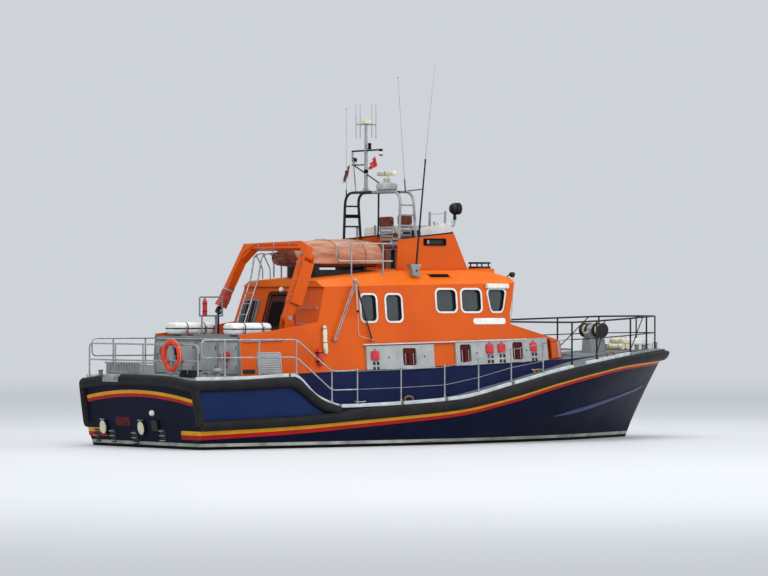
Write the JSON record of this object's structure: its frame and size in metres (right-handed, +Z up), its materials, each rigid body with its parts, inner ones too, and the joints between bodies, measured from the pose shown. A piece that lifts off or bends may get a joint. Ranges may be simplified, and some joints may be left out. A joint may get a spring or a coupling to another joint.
{
  "type": "all-weather rescue lifeboat",
  "caption": "Decked rescue lifeboat with wheelhouse, flying bridge, mast arch, stern davit and covered tender, afloat at its waterline.",
  "frame": {"origin": "on the centreline at half the overall length, at the surface of the water", "axes": "+X to the bow, +Y to port, +Z up"},
  "size_m": [17.2759, 5.924, 11.4411],
  "materials": {
    "hull_navy": "gloss paint on moulded hull",
    "antifouling": "matt bottom paint",
    "propeller_bronze": "cast bronze, polished by water",
    "fender_rubber": "black moulded rubber",
    "white_paint": "white paint",
    "house_orange": "gloss orange paint",
    "grey_paint": "grey paint",
    "window": "tinted toughened glass",
    "crew_upholstery": "dark upholstery",
    "stainless": "stainless tube",
    "black_paint": "black paint",
    "red_paint": "dark red paint",
    "white_plastic": "white moulded plastic",
    "canvas_boot": "coated canvas",
    "tender_cover": "coated cover cloth",
    "life_ring_orange": "orange foam ring"
  },
  "bodies": {
    "boat": {"hull": "hull_navy", "keel": "antifouling", "bilge_keel_starboard": "antifouling", "bilge_keel_port": "antifouling", "fender_belt": "fender_rubber", "fender_quarter": "fender_rubber", "toe_rail_starboard": "white_paint", "toe_rail_port": "white_paint", "aft_casing": "house_orange", "wheelhouse_roof": "house_orange", "wheelhouse_side_starboard": "house_orange", "wheelhouse_side_port": "house_orange", "wheelhouse_front": "house_orange", "wheelhouse_aft": "house_orange", "window_glass_starboard": "window", "window_glass_port": "window", "window_glass_front": "window", "forward_trunk": "house_orange", "helm_console": "grey_paint", "crew_seats": "crew_upholstery", "flybridge_coaming": "house_orange", "flybridge_console": "grey_paint", "flybridge_windscreen": "window", "mast_arch": "stainless", "mast_pole": "stainless", "radar_pedestal": "white_plastic", "searchlight_post": "stainless", "davit_pedestal": "grey_paint", "tender": "tender_cover", "tender_cradle": "grey_paint", "liferaft_starboard": "white_plastic", "liferaft_port": "white_plastic", "stern_rail": "stainless", "side_rail_starboard": "stainless", "side_rail_port": "stainless", "bow_rail_starboard": "black_paint", "bow_rail_port": "black_paint", "roof_rail_starboard": "stainless", "roof_rail_port": "stainless", "roof_ladder": "stainless", "life_ring": "life_ring_orange", "windlass": "black_paint"},
    "propeller_starboard": {"propeller_starboard": "propeller_bronze"},
    "rudder_starboard": {"rudder_starboard": "propeller_bronze"},
    "propeller_port": {"propeller_port": "propeller_bronze"},
    "rudder_port": {"rudder_port": "propeller_bronze"},
    "aft_door": {"wheelhouse_door": "grey_paint"},
    "engine_hatch": {"engine_hatch": "grey_paint"},
    "foredeck_hatch": {"foredeck_hatch": "grey_paint"},
    "radar_scanner": {"radar_scanner": "white_plastic"},
    "searchlight": {"searchlight": "black_paint"},
    "davit_arm": {"davit_arm": "house_orange"},
    "davit_jib": {"davit_jib": "house_orange", "davit_boot": "canvas_boot"},
    "ram_barrel": {"davit_ram_barrel": "red_paint"},
    "ram_rod": {"davit_ram_rod": "stainless"},
    "recovery_frame_starboard": {"recovery_frame_starboard": "stainless"},
    "recovery_frame_port": {"recovery_frame_port": "stainless"}
  },
  "joints": [
    {"name": "propeller_starboard_spin", "type": "hinge", "parent": "boat", "child": "propeller_starboard", "pos_m": [-6.05, -1.15, -1.02], "axis": [0.9945, 0, 0.1045], "continuous": true},
    {"name": "propeller_port_spin", "type": "hinge", "parent": "boat", "child": "propeller_port", "pos_m": [-6.05, 1.15, -1.02], "axis": [0.9945, 0, 0.1045], "continuous": true},
    {"name": "rudder_starboard_turn", "type": "hinge", "parent": "boat", "child": "rudder_starboard", "pos_m": [-7, -1.15, -1], "axis": [0, 0, 1], "range_deg": [-35, 35]},
    {"name": "rudder_port_turn", "type": "hinge", "parent": "boat", "child": "rudder_port", "pos_m": [-7, 1.15, -1], "axis": [0, 0, 1], "range_deg": [-35, 35]},
    {"name": "aft_door_hinge", "type": "hinge", "parent": "boat", "child": "aft_door", "pos_m": [-4.30755, 0.515, 3.025], "axis": [-0.29, 0, -0.957], "range_deg": [0, 90]},
    {"name": "engine_hatch_hinge", "type": "hinge", "parent": "boat", "child": "engine_hatch", "pos_m": [-6.56, 0, 2.805], "axis": [0, -1, 0], "range_deg": [0, 90]},
    {"name": "foredeck_hatch_hinge", "type": "hinge", "parent": "boat", "child": "foredeck_hatch", "pos_m": [5.175, 0, 2.37], "axis": [0, 1, 0], "range_deg": [0, 100]},
    {"name": "radar_spin", "type": "hinge", "parent": "boat", "child": "radar_scanner", "pos_m": [-0.98, -0.33, 6.95], "axis": [0, 0, 1], "continuous": true},
    {"name": "searchlight_pan", "type": "hinge", "parent": "boat", "child": "searchlight", "pos_m": [0.8, -0.9, 6], "axis": [0, 0, 1], "range_deg": [-170, 170]},
    {"name": "davit_luff", "type": "hinge", "parent": "boat", "child": "davit_arm", "pos_m": [-4.88, -1.38, 3.24], "axis": [0, -1, 0], "range_deg": [0, 80]},
    {"name": "davit_knuckle", "type": "hinge", "parent": "davit_arm", "child": "davit_jib", "pos_m": [-4.30541, -1.38, 4.81868], "axis": [0.9397, 0, -0.342], "range_deg": [0, 80]},
    {"name": "davit_ram_swing", "type": "hinge", "parent": "boat", "child": "ram_barrel", "pos_m": [-4.5, -1.2, 2.96], "axis": [0, -1, 0], "range_deg": [0, 48.6]},
    {"name": "davit_ram_extend", "type": "slide", "parent": "ram_barrel", "child": "ram_rod", "axis": [-0.1689, 0, 0.9856], "range_m": [0, 0.222]},
    {"name": "recovery_frame_starboard_swing", "type": "hinge", "parent": "boat", "child": "recovery_frame_starboard", "pos_m": [-3.25, -2.01, 2.69], "axis": [1, 0, 0], "range_deg": [0, 85]},
    {"name": "recovery_frame_port_swing", "type": "hinge", "parent": "boat", "child": "recovery_frame_port", "pos_m": [-3.25, 2.01, 2.69], "axis": [-1, 0, 0], "range_deg": [0, 85]}
  ],
  "couplings": [
    {"joint": "rudder_starboard_turn", "follows": "rudder_port_turn", "ratio": 1},
    {"joint": "davit_ram_swing", "follows": "davit_luff", "ratio": 0.59518},
    {"joint": "davit_ram_extend", "follows": "davit_luff", "m_per_rad": 0.15541}
  ]
}
